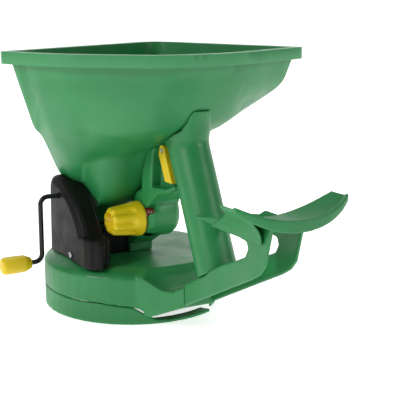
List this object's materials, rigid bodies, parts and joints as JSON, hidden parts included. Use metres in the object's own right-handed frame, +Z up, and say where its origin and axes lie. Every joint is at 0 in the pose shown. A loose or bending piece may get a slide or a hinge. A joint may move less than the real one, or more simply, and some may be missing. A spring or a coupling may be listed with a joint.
{
  "type": "hand crank broadcast spreader",
  "caption": "Hand-held broadcast spreader: square hopper on a finned spinner base, turned by a side crank through gears, with a grip, flow trigger, flow dial and forearm rest.",
  "frame": {"origin": "middle of the plan outline, on the plane the spreader stands on", "axes": "+Z up along the impeller shaft, +Y away from the forearm rest, -X towards the crank"},
  "size_m": [0.252, 0.353, 0.237],
  "materials": {
    "green_plastic": "satin moulded",
    "yellow_plastic": "satin moulded",
    "black_plastic": "satin moulded",
    "red_plastic": "printed drum",
    "steel": "bright turned",
    "black_steel": "black coated rod",
    "white_nylon": "natural nylon"
  },
  "bodies": {
    "frame": {"hopper": "green_plastic", "handle_frame": "green_plastic", "gear_tower": "green_plastic", "base_deck": "green_plastic", "bracket": "green_plastic", "arm_rest": "green_plastic", "guard_ring": "green_plastic", "gear_cover": "black_plastic", "gear_back_plate": "black_plastic", "drop_chute": "green_plastic", "spindle_bush": "white_nylon", "trigger_pin": "steel", "trigger_spring": "steel", "idler_pin": "steel", "cover_screw": "steel"},
    "crank": {"crank_rod": "black_steel", "crank_gear": "white_nylon", "agitator": "steel"},
    "grip": {"crank_knob": "yellow_plastic"},
    "idler": {"idler_gear": "white_nylon"},
    "layshaft": {"lay_gear": "white_nylon", "lay_shaft": "steel", "lay_bevel": "white_nylon"},
    "spinner": {"spindle": "steel", "spindle_pinion": "white_nylon", "impeller": "black_plastic", "impeller_nut": "steel"},
    "trigger": {"trigger": "yellow_plastic"},
    "gate": {"gate": "black_plastic", "gate_link": "steel"},
    "dial": {"dial_knob": "yellow_plastic", "dial_shaft": "steel", "dial_drum": "red_plastic"}
  },
  "joints": [
    {"name": "crank_spin", "type": "hinge", "parent": "frame", "child": "crank", "pos_m": [-0.05194, 0.0995, 0.104], "axis": [1, 0, 0], "continuous": true},
    {"name": "grip_spin", "type": "hinge", "parent": "crank", "child": "grip", "pos_m": [-0.10894, 0.0995, 0.045], "axis": [1, 0, 0], "continuous": true},
    {"name": "idler_spin", "type": "hinge", "parent": "frame", "child": "idler", "pos_m": [-0.05194, 0.08601, 0.08599], "axis": [1, 0, 0], "continuous": true},
    {"name": "layshaft_spin", "type": "hinge", "parent": "frame", "child": "layshaft", "pos_m": [-0.03194, 0.0855, 0.0665], "axis": [1, 0, 0], "continuous": true},
    {"name": "spinner_spin", "type": "hinge", "parent": "frame", "child": "spinner", "pos_m": [0.00806, 0.0855, 0.02], "axis": [0, 0, 1], "continuous": true},
    {"name": "trigger_pull", "type": "hinge", "parent": "frame", "child": "trigger", "pos_m": [-0.00284, 0.009, 0.153], "axis": [-1, 0, 0], "range_deg": [0, 10], "stiffness_Nm_per_rad": 1.2, "springref_deg": -8.59},
    {"name": "gate_slide", "type": "slide", "parent": "frame", "child": "gate", "axis": [0, -1, 0], "range_m": [0, 0.012]},
    {"name": "dial_turn", "type": "hinge", "parent": "frame", "child": "dial", "pos_m": [-0.01194, 0.0495, 0.0865], "axis": [1, 0, 0], "range_deg": [-150, 150]}
  ],
  "couplings": [
    {"joint": "idler_spin", "follows": "crank_spin", "ratio": -0.66667},
    {"joint": "layshaft_spin", "follows": "crank_spin", "ratio": 1.5},
    {"joint": "spinner_spin", "follows": "crank_spin", "ratio": -2.7},
    {"joint": "gate_slide", "follows": "trigger_pull", "m_per_rad": 0.06875}
  ]
}
